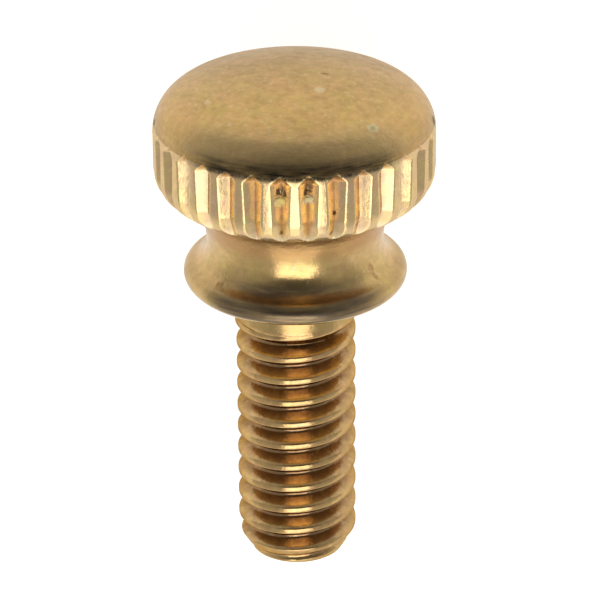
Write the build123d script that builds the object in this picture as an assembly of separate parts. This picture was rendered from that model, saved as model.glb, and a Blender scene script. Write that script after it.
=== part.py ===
"""Brass thumb screw, turned from one bar: domed knurled head, waisted neck, round collar, threaded shank.

Millimetres. The screw is drawn upright, with the centre of its tip at the origin and its head up.
It is then laid on its side as it comes to rest, on two teeth of the knurl and one thread crest.
"""
from build123d import *
from math import atan2, cos, degrees, radians, sin, sqrt, tan
import os

# Shank and thread: 1/4 in, 20 turns to the inch, coarse
pitch = 25.4 / 20
thread_diameter = 6.22
thread_flank_angle = 30.0
thread_crest_flat = 0.32
thread_depth = 0.64
shank_length = 15.60
plain_neck_length = 1.25
neck_diameter = 6.42
neck_taper_length = 0.85
tip_diameter = 4.90
tip_chamfer_length = 1.10

# Collar and waist above the shank
collar_diameter = 11.54
collar_round = 0.65
waist_diameter = 9.12
lower_cove_radius = 1.35
upper_cove_flare = 0.915
collar_to_head_length = 5.00

# Head
head_height = 6.70
head_diameter = 14.40
head_corner_radius = 1.60
crown_radius = 15.50
shoulder_radius = 2.20

# Straight knurl round the head, cut with a V tool that follows the lower corner and lifts out at the top
tooth_count = 34
knurl_depth = 0.43
knurl_angle = 90.0
knurl_lead_in = 1.40
knurl_lead_in_slope = 21.0
knurl_straight_length = 2.28
knurl_lift_slope = 45.0

# Room that a cutting tool has outside the bar
tool_clearance = 0.12

thread_length = shank_length - plain_neck_length
underside_height = shank_length + collar_to_head_length
overall_length = underside_height + head_height
thread_radius = thread_diameter / 2
neck_radius = neck_diameter / 2
head_radius = head_diameter / 2
waist_radius = waist_diameter / 2


def arc_point(centre, radius, angle):
    """Point of a circle in the half section, its angle counted from the outward direction."""
    turn = radians(angle)
    return (centre[0] + radius * cos(turn), centre[1] + radius * sin(turn))


def turned_arc(centre, radius, start, end):
    """Circular arc of the half section from one angle to another, by its two ends and the knee between them."""
    half = radians((end - start) / 2)
    knee = arc_point(centre, radius / cos(half), (start + end) / 2)
    return Bezier(
        arc_point(centre, radius, start), knee, arc_point(centre, radius, end), weights=[1, cos(half), 1])


def turned_blank():
    """The bar as the lathe leaves it, before its thread and knurl."""
    collar_centre = (collar_diameter / 2 - collar_round, shank_length + collar_round)
    cove_reach = collar_round + lower_cove_radius
    cove_offset = waist_radius + lower_cove_radius - collar_centre[0]
    waist_height = collar_centre[1] + sqrt(cove_reach**2 - cove_offset**2)
    cove_turn = degrees(atan2(waist_height - collar_centre[1], cove_offset))
    lower_cove_centre = (waist_radius + lower_cove_radius, waist_height)
    cove_rise = underside_height - waist_height
    upper_cove_radius = (cove_rise**2 + upper_cove_flare**2) / (2 * upper_cove_flare)
    upper_cove_centre = (waist_radius + upper_cove_radius, waist_height)
    upper_cove_turn = 180 - degrees(atan2(cove_rise, upper_cove_radius - upper_cove_flare))
    corner_centre = (head_radius - head_corner_radius, underside_height + head_corner_radius)
    crown_centre = (0, overall_length - crown_radius)
    shoulder_centre_radius = head_radius - shoulder_radius
    shoulder_height = crown_centre[1] + sqrt((crown_radius - shoulder_radius) ** 2 - shoulder_centre_radius**2)
    shoulder_centre = (shoulder_centre_radius, shoulder_height)
    crown_turn = degrees(atan2(shoulder_height - crown_centre[1], shoulder_centre_radius))
    taper_top = thread_length - pitch / 2

    shank = Polyline(
        (0, overall_length),
        (0, 0),
        (tip_diameter / 2, 0),
        (thread_radius, tip_chamfer_length),
        (thread_radius, taper_top - neck_taper_length),
        (neck_radius, taper_top),
        (neck_radius, shank_length),
        (collar_centre[0], shank_length),
    )
    collar = ThreePointArc(
        shank @ 1,
        arc_point(collar_centre, collar_round, 0),
        arc_point(collar_centre, collar_round, cove_turn),
    )
    lower_cove = turned_arc(lower_cove_centre, lower_cove_radius, 180 + cove_turn, 180)
    upper_cove = turned_arc(upper_cove_centre, upper_cove_radius, 180, upper_cove_turn)
    underside = Line(upper_cove @ 1, (corner_centre[0], underside_height))
    corner = turned_arc(corner_centre, head_corner_radius, -90, 0)
    rim = Line(corner @ 1, (head_radius, shoulder_height))
    shoulder = turned_arc(shoulder_centre, shoulder_radius, 0, crown_turn)
    crown = ThreePointArc(
        shoulder @ 1,
        arc_point(crown_centre, crown_radius, (90 + crown_turn) / 2),
        (0, overall_length),
    )
    outline = [shank, collar, lower_cove, upper_cove, underside, corner, rim, shoulder, crown]
    return revolve(Plane.XZ * make_face(outline), Axis.Z)


def thread_turns():
    """Right-hand helical V groove, one solid for each turn, that rises out of the bar over the last one."""
    flank_slope = tan(radians(thread_flank_angle))
    root_radius = thread_radius - thread_depth
    outer_radius = thread_radius + tool_clearance
    root_half = (pitch - thread_crest_flat) / 2 - thread_depth * flank_slope
    outer_half = root_half + (outer_radius - root_radius) * flank_slope
    height_at_side = thread_length + pitch / 4
    turns_below = int(height_at_side / pitch) + 2
    start = height_at_side - turns_below * pitch
    path = Pos(0, 0, start) * Helix(pitch, pitch, root_radius)
    section = make_face(Polyline(
        (root_radius, start - root_half),
        (outer_radius, start - outer_half),
        (outer_radius, start + outer_half),
        (root_radius, start + root_half),
        close=True,
    ))
    turn = sweep(Plane.XZ * section, path, is_frenet=True)

    cone_top = thread_length - pitch / 2
    cone = make_face(Polyline(
        (0, cone_top - thread_radius),
        (outer_radius + pitch, cone_top + tool_clearance + pitch),
        (0, cone_top + tool_clearance + pitch),
        close=True,
    ))
    runout_core = revolve(Plane.XZ * cone, Axis.Z)
    turns = []
    while start + outer_half < thread_length:
        in_runout = start + pitch + outer_half > cone_top - thread_depth
        turns.append(turn - runout_core if in_runout else turn)
        turn = Pos(0, 0, pitch) * turn
        start += pitch
    return turns


def knurl_groove():
    """One V groove of the knurl, facing the front: lead-in over the lower corner, straight run, lift-out."""
    apex = head_radius - knurl_depth
    mouth = head_radius + tool_clearance
    half_mouth = (mouth - apex) * tan(radians(knurl_angle / 2))
    section = make_face(Polyline((0, -apex), (half_mouth, -mouth), (-half_mouth, -mouth), close=True))
    straight_start = underside_height + knurl_lead_in
    lift = knurl_depth + tool_clearance
    lead_in = extrude(section, knurl_lead_in, dir=(0, tan(radians(knurl_lead_in_slope)), -1))
    straight = extrude(section, knurl_straight_length)
    lift_out = extrude(section, lift, dir=(0, -1, tan(radians(knurl_lift_slope))))
    return Pos(0, 0, straight_start) * (lead_in + straight + Pos(0, 0, knurl_straight_length) * lift_out)


def resting_tilt():
    """Angle between the axis and the floor, from the head's lower corner to the first full crest below."""
    crest = thread_length % pitch - thread_crest_flat / 2
    while crest < tip_chamfer_length:
        crest += pitch
    rise = head_radius - head_corner_radius - thread_radius
    run = underside_height + head_corner_radius - crest
    reach = sqrt(rise**2 + run**2)
    return degrees(atan2(rise, run)) + degrees(atan2(head_corner_radius, sqrt(reach**2 - head_corner_radius**2)))


def thumb_screw():
    """The finished screw, upright."""
    screw = turned_blank()
    for turn in thread_turns():
        screw -= turn
    return screw - PolarLocations(0, tooth_count, start_angle=180 / tooth_count) * knurl_groove()


def laid_down(screw):
    """The screw on its side, rolled about its axis until a groove of the knurl faces the floor."""
    tooth_turn = 360 / tooth_count
    roll = (180 + tooth_turn / 2) % tooth_turn
    lying = Rot(resting_tilt() - 90, 0, 0) * Rot(0, 0, roll) * screw
    box = lying.bounding_box()
    return Pos(-box.center().X, -box.center().Y, -box.min.Z) * lying


screw = laid_down(thumb_screw())
screw.label = "thumb_screw"
os.makedirs("parts", exist_ok=True)
export_step(screw, "parts/thumb_screw.step")
print("tilt", round(resting_tilt(), 2), "volume", round(screw.volume, 1), "valid", screw.is_valid)
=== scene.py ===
from math import acos, asin, atan2, cos, degrees, hypot, pi, radians, sin, sqrt, tan

import bmesh
import bpy
from mathutils import Matrix, Vector


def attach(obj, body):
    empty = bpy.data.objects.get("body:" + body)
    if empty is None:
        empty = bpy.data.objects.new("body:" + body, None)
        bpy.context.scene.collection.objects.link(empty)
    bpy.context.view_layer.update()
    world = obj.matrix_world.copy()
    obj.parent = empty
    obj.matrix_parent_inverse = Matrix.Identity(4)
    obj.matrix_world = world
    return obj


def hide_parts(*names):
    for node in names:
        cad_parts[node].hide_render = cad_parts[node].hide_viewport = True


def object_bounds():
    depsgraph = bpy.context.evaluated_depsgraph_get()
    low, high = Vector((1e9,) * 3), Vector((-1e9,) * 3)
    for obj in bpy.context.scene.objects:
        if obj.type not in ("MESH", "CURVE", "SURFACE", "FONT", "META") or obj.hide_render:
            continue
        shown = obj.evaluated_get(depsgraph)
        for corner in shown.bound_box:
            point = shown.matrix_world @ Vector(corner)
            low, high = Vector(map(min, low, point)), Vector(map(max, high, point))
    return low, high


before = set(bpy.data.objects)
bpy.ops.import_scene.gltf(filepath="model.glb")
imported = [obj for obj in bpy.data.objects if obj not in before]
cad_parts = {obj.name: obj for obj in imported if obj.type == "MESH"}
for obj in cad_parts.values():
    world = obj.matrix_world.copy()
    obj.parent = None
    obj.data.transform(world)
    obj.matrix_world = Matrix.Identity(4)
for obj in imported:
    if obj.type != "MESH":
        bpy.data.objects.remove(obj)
cadLow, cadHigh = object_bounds()
scene = bpy.context.scene
millimetre = 0.001

# The screw is drawn upright in millimetres, tip at the origin and front towards -Y, then laid down.
shank = {
    "pitch": 1.27,
    "crestRadius": 3.11,
    "crestFlat": 0.32,
    "flankAngle": 30.0,
    "depth": 0.64,
    "grooveInFront": 13.08,      # height of a groove's middle at the front
    "neckRadius": 3.21,
    "neckTaper": 0.85,
    "runOutTop": 13.715,         # the 45 degree run-out reaches the surface here
    "tipRadius": 2.45,
    "tipChamfer": 1.10,
    "length": 15.60,
    "edgeRounding": 0.12,
    "chamferRounding": 0.05,
    "runOutRounding": 0.08,
    "wearWidth": 0.15,           # how far the bright wear reaches from a crest's edge
    "columns": 144,
    "turns": 14,
    "turnsBelowFront": 11,
    # one crest's rows, from its middle to the middle of the root
    "rows": (0.0, 0.09, 0.135, 0.165, 0.20, 0.27, 0.36, 0.45, 0.51, 0.55, 0.59),
}

head = {
    "seatEdge": 3.75,
    "collarRadius": 5.77,
    "collarRound": 0.65,
    "waistRadius": 4.56,
    "lowerCove": 1.35,
    "coveTopRadius": 5.475,
    "underside": 20.60,
    "radius": 7.20,
    "cornerRound": 1.60,
    "shoulderRound": 2.20,
    "crownRound": 15.50,
    "top": 27.30,
    # how many edges each stretch of the outline has
    "steps": {"seat": 3, "collar": 18, "lowerCove": 8, "upperCove": 12, "underside": 2, "corner": 20,
              "side": 8, "shoulder": 32, "crown": 14},
    "teeth": 32,
    # the V tool comes in over the lower corner, deepens on its way up and lifts out at the top
    "leadInSlope": 21.0,
    "straightStart": 22.00,
    "straightEnd": 24.24,
    "depthBelow": 0.42,
    "depthAbove": 0.52,
    "grooveBottom": 0.07,
    "landEdgeRounding": 0.06,
    "mouthLimits": (1.2, 4.7),   # a groove's narrowest and widest half mouth, in degrees
    "wearWidth": 0.10,
    # six columns across half a tooth, as shares: land middle to edge, then edge to groove bottom
    "landShares": (0.0, 0.55, 0.88),
    "flankShares": (0.0, 0.12, 0.55),
}


# The smaller of two radii, rounded where they meet
def softMin(a, b, rounding):
    overlap = max(rounding - abs(a - b), 0.0) / rounding
    return min(a, b) - overlap * overlap * rounding / 4


def softMax(a, b, rounding):
    return -softMin(-a, -b, rounding)


# The outline's last vertex goes on in a straight line, or round a centre
def lineTo(bm, end, x, z, steps):
    start = end.co.copy()
    for i in range(1, steps + 1):
        end = bmesh.ops.extrude_vert_indiv(bm, verts=[end])["verts"][0]
        end.co = start.lerp(Vector((x, 0, z)), i / steps)
    return end


def arcTo(bm, end, centre, turn, steps):
    spun = bmesh.ops.spin(bm, geom=[end], cent=(centre[0], 0, centre[1]), axis=(0, -1, 0),
                          angle=radians(turn), steps=steps)
    return [g for g in spun["geom_last"] if isinstance(g, bmesh.types.BMVert)][0]


# Half section from the collar's seat up to the middle of the crown
def headOutline(bm):
    h = head
    collarCentre = (h["collarRadius"] - h["collarRound"], shank["length"] + h["collarRound"])
    coveReach = h["collarRound"] + h["lowerCove"]
    coveOffset = h["waistRadius"] + h["lowerCove"] - collarCentre[0]
    waistZ = collarCentre[1] + sqrt(coveReach**2 - coveOffset**2)
    coveTurn = degrees(atan2(waistZ - collarCentre[1], coveOffset))
    rise, flare = h["underside"] - waistZ, h["coveTopRadius"] - h["waistRadius"]
    upperCove = (rise**2 + flare**2) / (2 * flare)
    crownZ = h["top"] - h["crownRound"]
    shoulderX = h["radius"] - h["shoulderRound"]
    shoulderZ = crownZ + sqrt((h["crownRound"] - h["shoulderRound"])**2 - shoulderX**2)
    crownTurn = degrees(atan2(shoulderZ - crownZ, shoulderX))
    cornerCentre = (h["radius"] - h["cornerRound"], h["underside"] + h["cornerRound"])

    steps = h["steps"]
    end = bm.verts.new((h["seatEdge"], 0, shank["length"]))
    end = lineTo(bm, end, collarCentre[0], shank["length"], steps["seat"])
    end = arcTo(bm, end, collarCentre, 90 + coveTurn, steps["collar"])
    end = arcTo(bm, end, (h["waistRadius"] + h["lowerCove"], waistZ), -coveTurn, steps["lowerCove"])
    end = arcTo(bm, end, (h["waistRadius"] + upperCove, waistZ), -degrees(asin(rise / upperCove)),
                steps["upperCove"])
    end = lineTo(bm, end, cornerCentre[0], h["underside"], steps["underside"])
    end = arcTo(bm, end, cornerCentre, 90, steps["corner"])
    end = lineTo(bm, end, h["radius"], shoulderZ, steps["side"])
    end = arcTo(bm, end, (shoulderX, shoulderZ), crownTurn, steps["shoulder"])
    arcTo(bm, end, (0, crownZ), 90 - crownTurn, steps["crown"])


# Radius of a knurl groove's bottom at a height
def grooveApex(z):
    h = head
    if z < h["straightStart"]:
        lowered = tan(radians(h["leadInSlope"])) * (h["straightStart"] - z)
        return h["radius"] - h["depthBelow"] - lowered
    run = min((z - h["straightStart"]) / (h["straightEnd"] - h["straightStart"]), 1)
    lifted = max(z - h["straightEnd"], 0)
    return h["radius"] - h["depthBelow"] - (h["depthAbove"] - h["depthBelow"]) * run + lifted


# The turned head, with its columns moved to the lands and V grooves of the knurl
def makeHead(bm):
    h = head
    headOutline(bm)
    half = len(h["landShares"]) + len(h["flankShares"])
    teethColumns = h["teeth"] * half * 2
    bmesh.ops.spin(bm, geom=list(bm.verts) + list(bm.edges), axis=(0, 0, 1), cent=(0, 0, 0),
                   angle=2 * pi, steps=teethColumns, use_merge=True)
    bmesh.ops.remove_doubles(bm, verts=list(bm.verts), dist=1e-3)
    grooveLayer = bm.verts.layers.float.new("groove")
    edgeLayer = bm.verts.layers.float.new("edge")
    halfTooth = 180 / h["teeth"]
    for v in bm.verts:
        r, z = hypot(v.co.x, v.co.y), v.co.z
        if r < 1e-4:  # the crown's middle
            continue
        column = round((degrees(atan2(v.co.y, v.co.x)) + 90) * teethColumns / 360) % teethColumns
        tooth, place = divmod(column, half * 2)
        fromLand = min(place, half * 2 - place)
        apex = grooveApex(max(z, h["underside"]))
        mouth = degrees(acos(min(apex / (sqrt(2) * r), 1 / sqrt(2)))) - 45
        landHalf = halfTooth - min(max(mouth, h["mouthLimits"][0]), h["mouthLimits"][1])
        if fromLand < len(h["landShares"]):
            turn = landHalf * h["landShares"][fromLand]
        elif fromLand < half:
            turn = landHalf + (halfTooth - landHalf) * h["flankShares"][fromLand - len(h["landShares"])]
        else:
            turn = halfTooth
        cut = r
        if z > h["underside"] - 0.01:
            side = radians(halfTooth - turn)
            wall = softMax(apex / (cos(side) - sin(side)), apex + h["grooveBottom"] / 2, h["grooveBottom"])
            cut = softMin(r, wall, h["landEdgeRounding"])
            v[grooveLayer] = min(max((r - cut) / h["depthBelow"], 0), 1)
            v[edgeLayer] = max(1 - abs(r - wall) / h["wearWidth"], 0)
        turn = turn if place <= half else 2 * halfTooth - turn
        angle = radians(tooth * 2 * halfTooth + turn - 90)
        v.co = (cut * cos(angle), cut * sin(angle), z)


# Radius of the finished thread, of the bar before it and of the groove's wall
def threadRadius(z, angle):
    s = shank
    rise = (degrees(angle) + 90) / 360 * s["pitch"]
    nearest = (z - s["grooveInFront"] - rise + s["pitch"] / 2) % s["pitch"] - s["pitch"] / 2
    slope = tan(radians(s["flankAngle"]))
    rootHalf = (s["pitch"] - s["crestFlat"]) / 2 - s["depth"] * slope
    root = s["crestRadius"] - s["depth"]
    wall = softMax(root, root + (abs(nearest) - rootHalf) / slope, s["edgeRounding"])
    taper = min(max((z - s["runOutTop"] + s["neckTaper"]) / s["neckTaper"], 0), 1)
    bar = s["crestRadius"] + (s["neckRadius"] - s["crestRadius"]) * taper
    chamfer = s["tipRadius"] + (s["crestRadius"] - s["tipRadius"]) * z / s["tipChamfer"]
    bar = softMin(bar, chamfer, s["chamferRounding"])
    runOut = s["crestRadius"] + z - s["runOutTop"]
    wall = softMax(wall, runOut, s["runOutRounding"])
    return softMin(bar, wall, s["edgeRounding"]), bar, wall


# One helical turn of crest and groove, copied up the bar and cut off level at both ends
def makeShank(bm):
    s = shank
    start = s["grooveInFront"] - s["pitch"] / 2 - s["turnsBelowFront"] * s["pitch"]
    end = bm.verts.new((0, -s["crestRadius"], start))
    for z in s["rows"][1:] + tuple(s["pitch"] - z for z in reversed(s["rows"])):
        end = bmesh.ops.extrude_vert_indiv(bm, verts=[end])["verts"][0]
        end.co.z = start + z
    bmesh.ops.spin(bm, geom=list(bm.verts) + list(bm.edges), axis=(0, 0, 1), cent=(0, 0, 0),
                   dvec=(0, 0, s["pitch"] / s["columns"]), angle=2 * pi, steps=s["columns"])
    oneTurn = list(bm.verts) + list(bm.edges) + list(bm.faces)
    for turn in range(1, s["turns"]):
        copied = bmesh.ops.duplicate(bm, geom=oneTurn)["geom"]
        bmesh.ops.translate(bm, verts=[g for g in copied if isinstance(g, bmesh.types.BMVert)],
                            vec=(0, 0, turn * s["pitch"]))
    bmesh.ops.remove_doubles(bm, verts=list(bm.verts), dist=1e-4)
    for level, up in ((0.0, False), (s["length"], True)):
        bmesh.ops.bisect_plane(bm, geom=list(bm.verts) + list(bm.edges) + list(bm.faces), dist=1e-5,
                               plane_co=(0, 0, level), plane_no=(0, 0, 1),
                               clear_outer=up, clear_inner=not up)
    grooveLayer = bm.verts.layers.float.new("groove")
    edgeLayer = bm.verts.layers.float.new("edge")
    for v in bm.verts:
        angle = atan2(v.co.y, v.co.x)
        radius, bar, wall = threadRadius(v.co.z, angle)
        v.co.x, v.co.y = radius * cos(angle), radius * sin(angle)
        v[grooveLayer] = min(max((bar - radius) / s["depth"], 0), 1)
        v[edgeLayer] = max(1 - abs(bar - wall) / s["wearWidth"], 0)


crownZone, knurlZone, turnedZone, threadZone = range(4)
# each finish ends at this height, and what is above the last is the crown
zoneTops = (
    (threadZone, shank["length"] - 0.02),
    (turnedZone, head["underside"] + 0.15),
    (knurlZone, head["straightEnd"] + 0.40),
)


def screwMesh():
    headForm, shankForm = bmesh.new(), bmesh.new()
    makeHead(headForm)
    makeShank(shankForm)
    part = bpy.data.meshes.new("headForm")
    headForm.to_mesh(part)
    shankForm.from_mesh(part)
    bm = shankForm
    headForm.free()
    bpy.data.meshes.remove(part)
    rims = [e for e in bm.edges if e.is_boundary and e.verts[0].co.z > shank["length"] - 0.001]
    bmesh.ops.bridge_loops(bm, edges=rims)
    tip = [e for e in bm.edges if e.is_boundary]
    bmesh.ops.holes_fill(bm, edges=tip, sides=0)
    bmesh.ops.recalc_face_normals(bm, faces=list(bm.faces))
    for f in bm.faces:
        f.smooth = True
        z = f.calc_center_median().z
        f.material_index = next((zone for zone, top in zoneTops if z < top), crownZone)
    return bm


# Rest: rolled half a tooth, then tilted until the head's lower corner and a crest near the tip touch the
# floor. The crests under the bar stand at the height of the grooves in front of it.
def restMatrix():
    s, h = shank, head
    crest = s["grooveInFront"] % s["pitch"] - s["crestFlat"] / 2
    while crest < s["tipChamfer"]:
        crest += s["pitch"]
    rise = h["radius"] - h["cornerRound"] - s["crestRadius"]
    run = h["underside"] + h["cornerRound"] - crest
    reach = hypot(rise, run)
    tilt = atan2(rise, run) + asin(h["cornerRound"] / reach)
    return Matrix.Rotation(tilt - pi / 2, 4, "X") @ Matrix.Rotation(pi / h["teeth"], 4, "Z")


shading = {"sharpAngle": 55.0, "cornerWeight": 90}

lay = Matrix.Scale(millimetre, 4) @ restMatrix()
bm = screwMesh()
bm.transform(lay)
low = Vector([min(v.co[i] for v in bm.verts) for i in range(3)])
high = Vector([max(v.co[i] for v in bm.verts) for i in range(3)])
shift = Vector((0, (cadLow.y + cadHigh.y - low.y - high.y) / 2, cadLow.z - low.z))
bmesh.ops.translate(bm, verts=list(bm.verts), vec=shift)
print("screw faces", len(bm.faces), "open edges", sum(e.is_boundary for e in bm.edges),
      "volume mm3", bm.calc_volume() / millimetre**3)
toRow = Matrix.Translation(shift) @ lay
screwData = bpy.data.meshes.new("thumbScrew")
bm.to_mesh(screwData)
bm.free()
screwData.set_sharp_from_angle(angle=radians(shading["sharpAngle"]))
screw = bpy.data.objects.new("thumbScrew", screwData)
scene.collection.objects.link(screw)
weighted = screw.modifiers.new("weightedNormals", "WEIGHTED_NORMAL")
weighted.keep_sharp = True
weighted.weight = shading["cornerWeight"]


# A node with its settings, and its inputs given as values or as sockets to link
def addNode(tree, kind, inputs=None, **settings):
    node = tree.nodes.new(kind)
    for name, value in settings.items():
        setattr(node, name, value)
    for name, value in (inputs or {}).items():
        if isinstance(value, bpy.types.NodeSocket):
            tree.links.new(value, node.inputs[name])
        else:
            node.inputs[name].default_value = value
    return node


def arithmetic(tree, operation, *values, clamp=False):
    return addNode(tree, "ShaderNodeMath", dict(enumerate(values)), operation=operation,
                   use_clamp=clamp).outputs[0]


# Blend of two colours, each given as a value or as a socket
def mixColour(tree, share, first, second):
    inputs = {"Factor": share}
    for socket, value in ((6, first), (7, second)):
        inputs[socket] = value if isinstance(value, bpy.types.NodeSocket) else (*value, 1)
    return addNode(tree, "ShaderNodeMix", inputs, data_type="RGBA").outputs[2]


# Smooth change from one value to another while the input goes from start to full
def rampBetween(tree, value, start, full, before=0.0, after=1.0):
    return addNode(tree, "ShaderNodeMapRange", {"Value": value, "From Min": start, "From Max": full,
                   "To Min": before, "To Max": after}, interpolation_type="SMOOTHSTEP").outputs["Result"]


def setRamp(ramp, stops):
    elements = ramp.color_ramp.elements
    while len(elements) < len(stops):
        elements.new(0.5)
    for element, (position, colour) in zip(elements, stops):
        element.position = position
        element.color = (*colour, 1)


def newGroup(name, inputs, outputs):
    group = bpy.data.node_groups.new(name, "ShaderNodeTree")
    for label, kind in inputs:
        group.interface.new_socket(label, in_out="INPUT", socket_type=kind)
    for label, kind in outputs:
        group.interface.new_socket(label, in_out="OUTPUT", socket_type=kind)
    return group, group.nodes.new("NodeGroupInput"), group.nodes.new("NodeGroupOutput")


def useGroup(tree, group, inputs):
    return addNode(tree, "ShaderNodeGroup", inputs, node_tree=group)


# What all four finishes share
brass = {
    "rootGrimeColour": (0.13, 0.075, 0.04),
    "rootGrimeDepth": (0.80, 0.97),
    "speckColour": (0.86, 0.68, 0.42),
    "speckRougher": 0.12,
    "markRougher": 0.30,
    "markCore": 0.45,            # share of a mark's radius that it covers in full
    "streakNoise": (0.35, 0.65),
}


# Fine rings left by the lathe: noise that hardly changes round the axis
def turningMarksGroup():
    group, given, result = newGroup(
        "turningMarks",
        (("Vector", "NodeSocketVector"), ("Outward", "NodeSocketFloat"), ("Rings per mm", "NodeSocketFloat"),
         ("Arc", "NodeSocketFloat")),
        (("Marks", "NodeSocketFloat"),))
    parts = addNode(group, "ShaderNodeSeparateXYZ", {"Vector": given.outputs["Vector"]})
    flat = addNode(group, "ShaderNodeCombineXYZ", {"X": parts.outputs["X"], "Y": parts.outputs["Y"]})
    radius = addNode(group, "ShaderNodeVectorMath", {0: flat.outputs[0]}, operation="LENGTH")
    around = addNode(group, "ShaderNodeVectorMath", {0: flat.outputs[0]}, operation="NORMALIZE")
    arc = addNode(group, "ShaderNodeVectorMath", {0: around.outputs[0], "Scale": given.outputs["Arc"]},
                  operation="SCALE")
    along = arithmetic(group, "MULTIPLY_ADD", radius.outputs["Value"], given.outputs["Outward"],
                       parts.outputs["Z"])
    rings = arithmetic(group, "MULTIPLY", along, given.outputs["Rings per mm"])
    arcParts = addNode(group, "ShaderNodeSeparateXYZ", {"Vector": arc.outputs[0]})
    place = addNode(group, "ShaderNodeCombineXYZ", {"X": arcParts.outputs["X"], "Y": arcParts.outputs["Y"],
                    "Z": rings})
    noise = addNode(group, "ShaderNodeTexNoise", {"Vector": place.outputs[0], "Scale": 1.0, "Detail": 2.0,
                    "Roughness": 0.6})
    group.links.new(noise.outputs["Fac"], result.inputs["Marks"])
    return group


# Uneven handling marks: scale, detail, darkest and lightest noise, and how far each is moved away
patinaLayers = {
    "Clouds": (0.42, 3.0, 0.36, 0.64, 3.0),
    "Patches": (2.1, 4.0, 0.34, 0.66, 11.0),
    "Specks": (3.4, 3.0, 0.56, 0.74, 23.0),
    "Hue": (0.9, 3.0, 0.36, 0.64, 37.0),
}


def patinaGroup():
    group, given, result = newGroup(
        "patina", (("Vector", "NodeSocketVector"),),
        tuple((label, "NodeSocketFloat") for label in patinaLayers))
    for label, (scale, detail, darkest, lightest, away) in patinaLayers.items():
        moved = addNode(group, "ShaderNodeVectorMath", {0: given.outputs["Vector"], 1: (away, away, 0)},
                        operation="ADD")
        noise = addNode(group, "ShaderNodeTexNoise", {"Vector": moved.outputs[0], "Scale": scale,
                        "Detail": detail, "Roughness": 0.62})
        level = addNode(group, "ShaderNodeMapRange", {"Value": noise.outputs["Fac"],
                        "From Min": darkest, "From Max": lightest})
        group.links.new(level.outputs["Result"], result.inputs[label])
    return group


# One soft round mark on the surface
def markGroup():
    group, given, result = newGroup(
        "mark",
        (("Vector", "NodeSocketVector"), ("Centre", "NodeSocketVector"), ("Radius", "NodeSocketFloat"),
         ("Ragged", "NodeSocketFloat")),
        (("Mask", "NodeSocketFloat"),))
    away = addNode(group, "ShaderNodeVectorMath", {0: given.outputs["Vector"], 1: given.outputs["Centre"]},
                   operation="DISTANCE")
    noise = addNode(group, "ShaderNodeTexNoise", {"Vector": given.outputs["Vector"], "Scale": 4.0,
                    "Detail": 2.0})
    shifted = arithmetic(group, "SUBTRACT", noise.outputs["Fac"], 0.5)
    ragged = arithmetic(group, "MULTIPLY_ADD", shifted, given.outputs["Ragged"], away.outputs["Value"])
    core = arithmetic(group, "MULTIPLY", given.outputs["Radius"], brass["markCore"])
    mask = rampBetween(group, ragged, core, given.outputs["Radius"], before=1.0, after=0.0)
    group.links.new(mask, result.inputs["Mask"])
    return group


turningMarks, patina, mark = turningMarksGroup(), patinaGroup(), markGroup()
toUpright = toRow.inverted()
allRound = (9, 8)                # both lie behind the whole screw


# A band round the axis: it rises and falls between two heights each, and in front alone it also fades in
# between two places on the Y axis. The bands with such a fade are painted shade and painted reflections.
def band(rise, fall, streaks, colour, strength, rougher=0.0, front=allRound):
    return {"rise": rise, "fall": fall, "streaks": streaks, "colour": colour, "strength": strength,
            "rougher": rougher, "front": front}


def bandShare(tree, place, rings, given):
    near = rampBetween(tree, place["Y"], *given["front"])
    rise = rampBetween(tree, place["Z"], *given["rise"])
    fall = rampBetween(tree, place["Z"], *given["fall"], before=1.0, after=0.0)
    dim, bright = brass["streakNoise"]
    streak = addNode(tree, "ShaderNodeMapRange", {"Value": rings, "From Min": dim, "From Max": bright,
                     "To Min": 1.0 - given["streaks"], "To Max": 1.0}).outputs["Result"]
    share = arithmetic(tree, "MULTIPLY", arithmetic(tree, "MULTIPLY", rise, fall), streak)
    return arithmetic(tree, "MULTIPLY", arithmetic(tree, "MULTIPLY", share, near), given["strength"])


def tarnishShare(tree, worn, rings, depth, settings):
    groove = rampBetween(tree, depth, settings["grooveFrom"], 1.0)
    edge = addNode(tree, "ShaderNodeAttribute", attribute_name="edge").outputs["Fac"]
    dull = arithmetic(tree, "MULTIPLY", worn["Clouds"], settings["cloudTarnish"])
    dull = arithmetic(tree, "MULTIPLY_ADD", worn["Patches"], settings["patchTarnish"], dull)
    dull = arithmetic(tree, "MULTIPLY_ADD", groove, settings["grooveTarnish"], dull)
    dull = arithmetic(tree, "MULTIPLY_ADD", rings, settings["ringTarnish"], dull)
    return arithmetic(tree, "MULTIPLY_ADD", edge, -settings["edgeWear"], dull, clamp=True)


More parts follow.
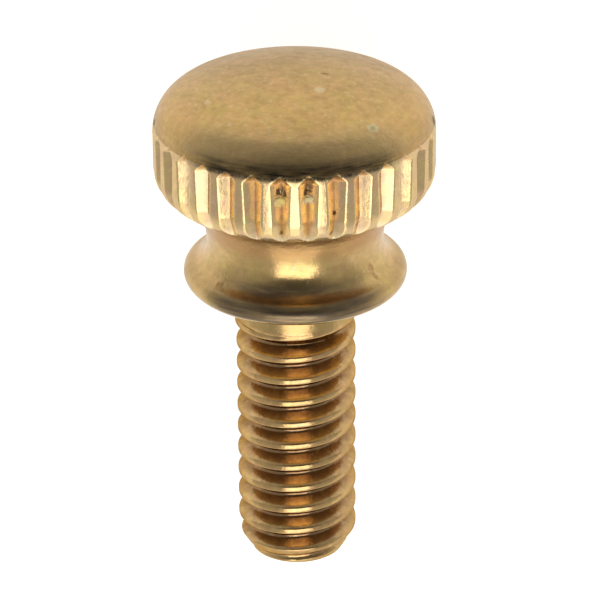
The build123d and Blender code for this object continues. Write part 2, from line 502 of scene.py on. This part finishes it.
# Patterns are worked out in the upright screw's millimetres
def makeBrass(name, settings):
    material = bpy.data.materials.new(name)
    material.use_nodes = True
    tree = material.node_tree
    shader = tree.nodes["Principled BSDF"]
    shader.inputs["Metallic"].default_value = 1.0
    shader.inputs["Specular Tint"].default_value = (*settings["edgeTint"], 1)
    coordinates = addNode(tree, "ShaderNodeTexCoord")
    upright = addNode(tree, "ShaderNodeMapping", {"Vector": coordinates.outputs["Object"],
                      "Location": toUpright.to_translation(), "Rotation": toUpright.to_euler(),
                      "Scale": (1 / millimetre,) * 3}).outputs[0]
    place = addNode(tree, "ShaderNodeSeparateXYZ", {"Vector": upright}).outputs
    worn = useGroup(tree, patina, {"Vector": upright}).outputs
    rings = useGroup(tree, turningMarks, {"Vector": upright, "Outward": settings["outward"],
                     "Rings per mm": settings["ringsPerMm"], "Arc": settings["arc"]}).outputs["Marks"]
    depth = addNode(tree, "ShaderNodeAttribute", attribute_name="groove").outputs["Fac"]

    dull = tarnishShare(tree, worn, rings, depth, settings)
    metal = mixColour(tree, worn["Hue"], settings["colour"], settings["otherColour"])
    colour = mixColour(tree, dull, metal, settings["tarnish"])
    speckShare = arithmetic(tree, "MULTIPLY", worn["Specks"], settings["specks"])
    colour = mixColour(tree, speckShare, colour, brass["speckColour"])
    rootShare = arithmetic(tree, "MULTIPLY", rampBetween(tree, depth, *brass["rootGrimeDepth"]),
                           settings["rootGrime"])
    colour = mixColour(tree, rootShare, colour, brass["rootGrimeColour"])
    roughness = arithmetic(tree, "MULTIPLY_ADD", dull, settings["dullRoughness"] - settings["roughness"],
                           settings["roughness"])
    roughness = arithmetic(tree, "MULTIPLY_ADD", speckShare, brass["speckRougher"], roughness)
    height = arithmetic(tree, "MULTIPLY", rings, settings["ringHeight"])
    height = arithmetic(tree, "MULTIPLY_ADD", worn["Patches"], settings["waviness"], height)
    for given in settings["bands"]:
        share = bandShare(tree, place, rings, given)
        colour = mixColour(tree, share, colour, given["colour"])
        roughness = arithmetic(tree, "MULTIPLY_ADD", share, given["rougher"], roughness)
    for centre, radius, ragged, tint, strength, dent in settings["marks"]:
        mask = useGroup(tree, mark, {"Vector": upright, "Centre": centre, "Radius": radius,
                        "Ragged": ragged}).outputs["Mask"]
        share = arithmetic(tree, "MULTIPLY", mask, strength)
        colour = mixColour(tree, share, colour, tint)
        roughness = arithmetic(tree, "MULTIPLY_ADD", share, brass["markRougher"], roughness)
        height = arithmetic(tree, "MULTIPLY_ADD", mask, -dent, height)
    tree.links.new(colour, shader.inputs["Base Color"])
    tree.links.new(roughness, shader.inputs["Roughness"])
    bump = addNode(tree, "ShaderNodeBump", {"Height": height, "Strength": 1.0, "Distance": millimetre})
    tree.links.new(bump.outputs["Normal"], shader.inputs["Normal"])
    return material


# Domed top: satin, rubbed round the axis, with uneven tone and a painted dark reflection along the front
# above the knurl
crownBrass = {
    "colour": (0.74, 0.51, 0.17),
    "otherColour": (0.80, 0.48, 0.20),
    "edgeTint": (1.0, 1.0, 1.0),
    "tarnish": (0.40, 0.26, 0.09),
    "cloudTarnish": 0.20,
    "patchTarnish": 0.34,
    "grooveFrom": 0.1,
    "grooveTarnish": 0.3,
    "rootGrime": 0.0,
    "ringTarnish": 0.36,
    "edgeWear": 0.3,
    "specks": 0.38,
    "roughness": 0.27,
    "dullRoughness": 0.42,
    "outward": -1.0,
    "ringsPerMm": 5.0,
    "arc": 5.0,
    "ringHeight": 0.006,
    "waviness": 0.010,
    "bands": (
        band(rise=(23.9, 24.3), fall=(25.0, 25.6), streaks=0.5, colour=(0.30, 0.20, 0.09), strength=0.45),
        band(rise=(24.5, 25.1), fall=(25.7, 26.7), streaks=0.4, colour=(0.62, 0.38, 0.14), strength=0.45,
             rougher=0.05),
        # the next two bands, faded in front alone, are painted dark reflection: the dark crescent above the
        # knurl's front
        band(rise=(24.75, 25.10), fall=(25.85, 26.50), streaks=0.30, colour=(0.42, 0.36, 0.22),
             strength=0.35, front=(-3.0, -5.2)),
        band(rise=(24.35, 24.58), fall=(24.88, 25.50), streaks=0.50, colour=(0.032, 0.028, 0.022),
             strength=0.97, front=(-4.5, -6.1)),
    ),
    # centre, radius, raggedness, colour, strength, dent
    "marks": (
        ((1.30, -2.03, 27.11), 0.34, 0.35, (0.86, 0.76, 0.45), 0.55, 0.0),
        ((3.89, -4.48, 26.11), 0.38, 0.25, (0.80, 0.74, 0.44), 0.60, 0.0),
        ((3.89, -4.48, 26.11), 0.20, 0.15, (0.60, 0.50, 0.26), 0.50, 0.0),
        ((1.57, -0.29, 27.22), 0.22, 0.45, (0.34, 0.22, 0.10), 0.70, 0.004),
        ((-4.3, -2.2, 26.5), 0.26, 0.30, (0.90, 0.70, 0.40), 0.45, 0.0),
        ((-3.2, -4.4, 26.3), 0.20, 0.30, (0.90, 0.70, 0.40), 0.45, 0.0),
        ((7.05, -0.77, 24.75), 0.40, 0.30, (0.12, 0.08, 0.04), 0.75, 0.010),
        ((-7.05, -0.70, 24.70), 0.34, 0.30, (0.16, 0.10, 0.05), 0.65, 0.006),
    ),
}

# Side of the head: bright lands and corner, darker grooves, with nicks and burrs on the front teeth, and a
# painted dark reflection along the top of the front teeth
knurlBrass = {
    "colour": (0.84, 0.62, 0.25),
    "otherColour": (0.82, 0.55, 0.29),
    "edgeTint": (0.9, 0.82, 0.7),
    "tarnish": (0.52, 0.38, 0.25),
    "cloudTarnish": 0.10,
    "patchTarnish": 0.34,
    "grooveFrom": 0.45,
    "grooveTarnish": 0.34,
    "rootGrime": 0.0,
    "ringTarnish": 0.20,
    "edgeWear": 0.30,
    "specks": 0.4,
    "roughness": 0.20,
    "dullRoughness": 0.38,
    "outward": 0.2,
    "ringsPerMm": 1.6,
    "arc": 46.0,
    "ringHeight": 0.005,
    "waviness": 0.006,
    "bands": (
        band(rise=(20.4, 20.7), fall=(21.0, 21.45), streaks=0.4, colour=(0.93, 0.78, 0.52), strength=0.45,
             rougher=0.1),
        # painted dark reflection: the near-black crescent along the top of the front teeth, faded in front
        # alone
        band(rise=(24.34, 24.54), fall=(24.88, 25.50), streaks=0.35, colour=(0.032, 0.026, 0.020),
             strength=0.97, front=(-4.5, -6.1)),
    ),
    # centre, radius, raggedness, colour, strength, dent
    "marks": (
        ((-0.78, -6.85, 23.75), 0.20, 0.50, (0.12, 0.07, 0.04), 0.85, 0.03),
        ((-0.48, -6.87, 23.69), 0.16, 0.40, (0.14, 0.08, 0.05), 0.80, 0.03),
        ((-0.72, -6.85, 23.22), 0.34, 0.50, (1.0, 0.88, 0.46), 0.98, -0.03),
        ((0.58, -6.85, 23.76), 0.22, 0.50, (0.12, 0.07, 0.04), 0.85, 0.03),
        ((0.66, -6.85, 24.05), 0.22, 0.50, (0.34, 0.20, 0.10), 0.75, 0.02),
        ((0.66, -6.85, 23.34), 0.32, 0.50, (1.0, 0.90, 0.62), 0.98, -0.03),
        ((0.35, -6.80, 23.15), 0.18, 0.50, (0.40, 0.26, 0.12), 0.70, 0.01),
        ((1.93, -6.57, 22.48), 0.16, 0.25, (0.14, 0.09, 0.05), 0.85, 0.02),
        ((1.83, -6.50, 21.30), 0.20, 0.30, (0.20, 0.13, 0.07), 0.80, 0.02),
        ((0.42, -6.50, 21.50), 0.20, 0.30, (0.22, 0.15, 0.07), 0.75, 0.02),
        ((-0.74, -6.50, 21.45), 0.20, 0.30, (0.22, 0.15, 0.07), 0.75, 0.02),
        ((3.10, -6.05, 21.60), 0.18, 0.30, (0.30, 0.20, 0.10), 0.70, 0.02),
    ),
}

# Neck and collar: turned smooth, with painted shade and a painted orange reflection under the head, and
# grime streaks deepened by painted shade along the collar's front
turnedBrass = {
    "colour": (0.78, 0.56, 0.20),
    "otherColour": (0.77, 0.50, 0.22),
    "edgeTint": (1.0, 0.98, 0.95),
    "tarnish": (0.38, 0.25, 0.10),
    "cloudTarnish": 0.30,
    "patchTarnish": 0.22,
    "grooveFrom": 0.1,
    "grooveTarnish": 0.0,
    "rootGrime": 0.0,
    "ringTarnish": 0.34,
    "edgeWear": 0.0,
    "specks": 0.3,
    "roughness": 0.16,
    "dullRoughness": 0.30,
    "outward": 0.37,
    "ringsPerMm": 4.5,
    "arc": 2.2,
    "ringHeight": 0.004,
    "waviness": 0.005,
    "bands": (
        band(rise=(15.98, 16.12), fall=(16.80, 17.15), streaks=0.45, colour=(0.34, 0.22, 0.10),
             strength=0.35, rougher=0.1),
        # grime streaks and painted dark reflection together: this band is faded in on the collar's front
        # alone
        band(rise=(15.80, 15.92), fall=(17.20, 17.80), streaks=0.45, colour=(0.11, 0.088, 0.070),
             strength=0.93, rougher=0.12, front=(-2.9, -4.8)),
        # painted shade at the sides under the head (faded out in front), then a painted orange
        # inter-reflection all round under the head
        band(rise=(18.7, 19.3), fall=(21.0, 21.5), streaks=0.2, colour=(0.32, 0.20, 0.11), strength=0.55,
             rougher=0.05, front=(-4.4, -3.7)),
        band(rise=(18.5, 19.3), fall=(21.0, 21.5), streaks=0.1, colour=(0.56, 0.31, 0.12), strength=0.80,
             rougher=0.05),
    ),
    # centre, radius, raggedness, colour, strength, dent
    "marks": (
        ((-3.9, -3.6, 17.3), 0.60, 0.70, (0.32, 0.21, 0.08), 0.75, 0.0),
        ((4.2, -3.0, 17.6), 0.65, 0.70, (0.38, 0.20, 0.08), 0.75, 0.0),
    ),
}

# Shank: bright crests, dull roots
threadBrass = {
    "colour": (0.74, 0.51, 0.20),
    "otherColour": (0.72, 0.45, 0.19),
    "edgeTint": (0.66, 0.52, 0.35),
    "tarnish": (0.34, 0.205, 0.10),
    "cloudTarnish": 0.20,
    "patchTarnish": 0.34,
    "grooveFrom": -0.1,
    "grooveTarnish": 0.75,
    "rootGrime": 0.12,
    "ringTarnish": 0.24,
    "edgeWear": 0.05,
    "specks": 0.3,
    "roughness": 0.17,
    "dullRoughness": 0.21,
    "outward": 0.37,
    "ringsPerMm": 4.0,
    "arc": 3.0,
    "ringHeight": 0.004,
    "waviness": 0.006,
    "bands": (
        band(rise=(13.95, 14.10), fall=(15.70, 15.80), streaks=0.2, colour=(0.52, 0.36, 0.14),
             strength=0.75, rougher=0.10),
    ),
    "marks": (),
}

# in the order of the zones
finishes = {"crownBrass": crownBrass, "knurlBrass": knurlBrass, "turnedBrass": turnedBrass,
            "threadBrass": threadBrass}
for name, settings in finishes.items():
    screwData.materials.append(makeBrass(name, settings))
print("materials made", list(finishes))

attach(screw, "root")
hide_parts("thumb_screw")

# Camera, set in the upright screw's own frame
view = {
    "elevation": 26.914,
    "distance": 192.571,
    "roll": -0.443,
    "across": -0.225,
    "up": -2.096,
    "aimHeight": 12.0,
    "lens": 221.5,
    "sensorWidth": 36,
    "clip": (0.005, 20),
}


def makeCamera():
    e, roll = radians(view["elevation"]), radians(view["roll"])
    back = Vector((0, -cos(e), sin(e)))
    up = Vector((0, sin(e), cos(e)))
    right = Vector((1, 0, 0))
    aim = Vector((0, 0, view["aimHeight"]))
    place = aim - right * view["across"] - up * view["up"] + back * view["distance"]
    camRight = right * cos(roll) + up * sin(roll)
    camUp = up * cos(roll) - right * sin(roll)
    turn = Matrix((camRight, camUp, back)).transposed().to_4x4()
    data = bpy.data.cameras.new("photoCamera")
    data.lens = view["lens"]
    data.sensor_width = view["sensorWidth"]
    data.clip_start, data.clip_end = view["clip"]
    camera = bpy.data.objects.new("photoCamera", data)
    scene.collection.objects.link(camera)
    spin = (toRow.to_3x3().normalized() @ turn.to_3x3()).to_4x4()
    camera.matrix_world = Matrix.Translation(toRow @ place) @ spin
    scene.camera = camera


makeCamera()
print("camera set")

# Light, with directions in the upright screw's frame: azimuth from the front, elevation towards the head.
# Steps give the brightness at each angle from their middle.
studio = {
    "darkAzimuth": 0.0,
    "darkElevation": 30.0,
    "worldSteps": ((0, 0.20), (32, 0.24), (48, 0.40), (78, 0.52), (100, 0.66), (130, 0.98)),
    "keyAzimuth": 1.0,
    "keyElevation": -28.0,
    "keyWidth": 43.0,
    "keyHeight": 34.0,
    "keyStrength": 2.1,
    "tipBoxAzimuth": 0.0,
    "tipBoxElevation": -69.0,
    "tipBoxWidth": 38.0,
    "tipBoxHeight": 42.0,
    "tipBoxStrength": 0.85,
    # the dark room straight in front, near the horizon
    "holeAzimuth": 0.0,
    "holeElevation": 12.0,
    "holeSteps": ((0, 0.42), (12, 0.46), (24, 0.75), (36, 1.0)),
    "lampDistance": 0.6,
    "aimHeight": 18.0,
    "floorSides": 96,
    "floorRadius": 4,
    "paperColour": (0.9, 0.9, 0.9, 1),
    # the paper's own glow: as the camera sees it, then as the metal mirrors it, near the screw and far off
    "paperSeen": 0.78,
    "paperGlow": 0.50,
    "paperFarGlow": 0.34,
    "paperNear": 0.02,
    "paperFar": 0.12,
}


def towards(azimuth, elevation):
    a, e = radians(azimuth), radians(elevation)
    return Vector((sin(a) * cos(e), -cos(a) * cos(e), sin(e)))


def brightnessRound(tree, direction, azimuth, elevation, steps):
    middle = toRow.to_3x3().normalized() @ towards(azimuth, elevation)
    alike = addNode(tree, "ShaderNodeVectorMath", {0: direction, 1: middle}, operation="DOT_PRODUCT")
    angle = arithmetic(tree, "ARCCOSINE", alike.outputs["Value"])
    share = arithmetic(tree, "MULTIPLY", angle, 1 / pi)
    ramp = addNode(tree, "ShaderNodeValToRGB", {"Fac": share})
    setRamp(ramp, [(turn / 180, (level,) * 3) for turn, level in steps])
    return ramp.outputs["Color"]


def makeWorld():
    world = bpy.data.worlds.new("studio")
    world.use_nodes = True
    tree = world.node_tree
    direction = addNode(tree, "ShaderNodeTexCoord").outputs["Generated"]
    room = brightnessRound(tree, direction, studio["darkAzimuth"], studio["darkElevation"],
                           studio["worldSteps"])
    hole = brightnessRound(tree, direction, studio["holeAzimuth"], studio["holeElevation"],
                           studio["holeSteps"])
    both = addNode(tree, "ShaderNodeMix", {"Factor": 1.0, 6: room, 7: hole}, data_type="RGBA",
                   blend_type="MULTIPLY")
    path = addNode(tree, "ShaderNodeLightPath")
    colour = mixColour(tree, path.outputs["Is Camera Ray"], both.outputs[2], (1, 1, 1))
    tree.links.new(colour, tree.nodes["Background"].inputs["Color"])
    scene.world = world


def makeFloor():
    bpy.ops.mesh.primitive_circle_add(vertices=studio["floorSides"], radius=studio["floorRadius"],
                                      fill_type="NGON")
    floor = bpy.context.object
    floor.name = "floor"
    paper = bpy.data.materials.new("paper")
    paper.use_nodes = True
    tree = paper.node_tree
    tree.nodes.remove(tree.nodes["Principled BSDF"])
    matt = addNode(tree, "ShaderNodeBsdfDiffuse", {"Color": studio["paperColour"]})
    place = addNode(tree, "ShaderNodeTexCoord")
    distance = addNode(tree, "ShaderNodeVectorMath", {0: place.outputs["Object"]}, operation="LENGTH")
    pool = addNode(tree, "ShaderNodeMapRange", {"Value": distance.outputs["Value"],
                   "From Min": studio["paperNear"], "From Max": studio["paperFar"],
                   "To Min": studio["paperGlow"], "To Max": studio["paperFarGlow"]})
    path = addNode(tree, "ShaderNodeLightPath")
    seen = arithmetic(tree, "MAXIMUM", path.outputs["Is Camera Ray"], path.outputs["Is Glossy Ray"])
    strength = arithmetic(tree, "MULTIPLY", pool.outputs["Result"], seen)
    cameraGlow = addNode(tree, "ShaderNodeMix", {0: path.outputs["Is Camera Ray"], 2: strength,
                         3: studio["paperSeen"]})
    glow = addNode(tree, "ShaderNodeEmission", {"Strength": cameraGlow.outputs[0]})
    both = addNode(tree, "ShaderNodeAddShader", {0: matt.outputs[0], 1: glow.outputs[0]})
    tree.links.new(both.outputs[0], tree.nodes["Material Output"].inputs["Surface"])
    floor.data.materials.append(paper)


def softbox(name, azimuth, elevation, wide, high, strength):
    distance = studio["lampDistance"]
    data = bpy.data.lights.new(name, "AREA")
    data.shape = "RECTANGLE"
    data.size = 2 * distance * tan(radians(wide / 2))
    data.size_y = 2 * distance * tan(radians(high / 2))
    data.energy = strength * data.size * data.size_y * pi
    lamp = bpy.data.objects.new(name, data)
    scene.collection.objects.link(lamp)
    aim = Vector((0, 0, studio["aimHeight"]))
    away = (toRow.to_3x3() @ towards(azimuth, elevation)).normalized()
    lamp.rotation_euler = away.to_track_quat("Z", "Y").to_euler()
    lamp.location = toRow @ aim + away * distance
    lamp.visible_camera = False


makeWorld()
makeFloor()
softbox("keyBox", studio["keyAzimuth"], studio["keyElevation"], studio["keyWidth"], studio["keyHeight"],
        studio["keyStrength"])
softbox("tipBox", studio["tipBoxAzimuth"], studio["tipBoxElevation"], studio["tipBoxWidth"],
        studio["tipBoxHeight"], studio["tipBoxStrength"])
print("studio lit")

scene.view_settings.view_transform = "Standard"
print("cad box", list(cadLow), list(cadHigh))
